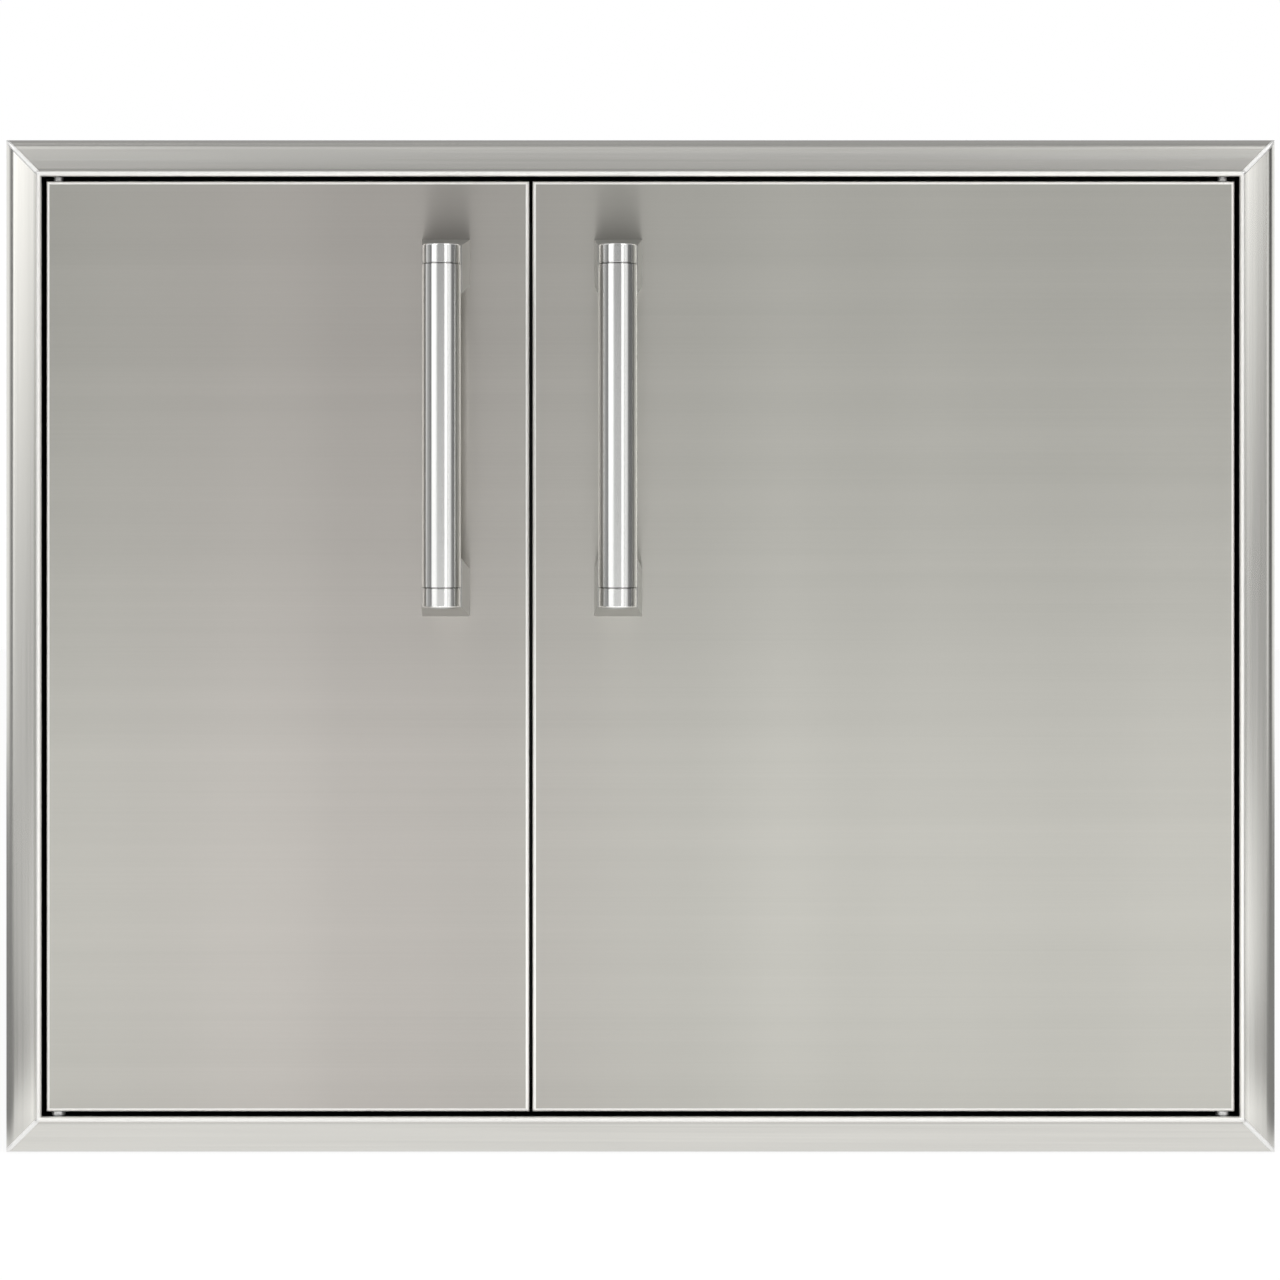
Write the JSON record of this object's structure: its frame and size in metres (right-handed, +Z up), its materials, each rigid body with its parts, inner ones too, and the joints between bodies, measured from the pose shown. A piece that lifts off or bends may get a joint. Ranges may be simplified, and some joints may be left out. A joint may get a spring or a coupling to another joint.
{
  "type": "built-in dry storage pantry",
  "caption": "Built-in steel cabinet with a mitred face frame, flush brushed doors of unequal width, round bar handles and shelves inside.",
  "frame": {"origin": "middle of the cut-out's sill: on the cabinet's underside, in the plane where the frame's flange bears on the island's face", "axes": "+X to the right of a person facing the doors, +Y back into the island, +Z up; the doors face -Y"},
  "size_m": [0.7842, 0.5821, 0.6254],
  "materials": {
    "brushed_stainless": "horizontal brushed grain on the doors, fine satin on the rails",
    "polished_stainless": "bright polished stainless steel",
    "satin_sheet": "plain satin mill finish",
    "bright_fixings": "bright turned steel",
    "black_rubber": "matte",
    "white_nylon": "matte",
    "dark_magnet": "sintered"
  },
  "bodies": {
    "cabinet": {"frame_top_rail": "brushed_stainless", "frame_bottom_rail": "brushed_stainless", "frame_left_rail": "brushed_stainless", "frame_right_rail": "brushed_stainless", "cabinet_left_side": "satin_sheet", "cabinet_right_side": "satin_sheet", "cabinet_top": "satin_sheet", "cabinet_bottom": "satin_sheet", "cabinet_back": "satin_sheet", "divider": "satin_sheet", "stop_top_strip": "satin_sheet", "stop_bottom_strip": "satin_sheet", "stop_left_strip": "satin_sheet", "stop_right_strip": "satin_sheet", "left_door_seal": "black_rubber", "right_door_seal": "black_rubber", "shelf_standards": "satin_sheet", "shelf_clips": "bright_fixings", "left_upper_shelf": "satin_sheet", "left_lower_shelf": "satin_sheet", "right_upper_shelf": "satin_sheet", "right_lower_shelf": "satin_sheet", "catch_housings": "white_nylon", "catch_magnets": "dark_magnet", "pivot_blocks": "satin_sheet", "pivot_pins": "bright_fixings", "pivot_washers": "bright_fixings", "back_rivets": "bright_fixings"},
    "left_door": {"left_door_skin": "brushed_stainless", "left_door_liner": "satin_sheet", "left_door_stiffener": "satin_sheet", "left_pivot_sockets": "satin_sheet", "left_pivot_bushings": "white_nylon", "left_handle_tube": "polished_stainless", "left_handle_caps": "polished_stainless", "left_handle_upper_post": "polished_stainless", "left_handle_lower_post": "polished_stainless", "left_handle_screws": "bright_fixings", "left_handle_backing": "satin_sheet", "left_strike_plate": "bright_fixings"},
    "right_door": {"right_door_skin": "brushed_stainless", "right_door_liner": "satin_sheet", "right_door_stiffener": "satin_sheet", "right_pivot_sockets": "satin_sheet", "right_pivot_bushings": "white_nylon", "right_handle_tube": "polished_stainless", "right_handle_caps": "polished_stainless", "right_handle_upper_post": "polished_stainless", "right_handle_lower_post": "polished_stainless", "right_handle_screws": "bright_fixings", "right_handle_backing": "satin_sheet", "right_strike_plate": "bright_fixings"}
  },
  "joints": [
    {"name": "left_door_hinge", "type": "hinge", "parent": "cabinet", "child": "left_door", "pos_m": [-0.3594, -0.009, 0.2905], "axis": [0, 0, -1], "range_deg": [0, 100]},
    {"name": "right_door_hinge", "type": "hinge", "parent": "cabinet", "child": "right_door", "pos_m": [0.3594, -0.009, 0.2905], "axis": [0, 0, 1], "range_deg": [0, 100]}
  ]
}
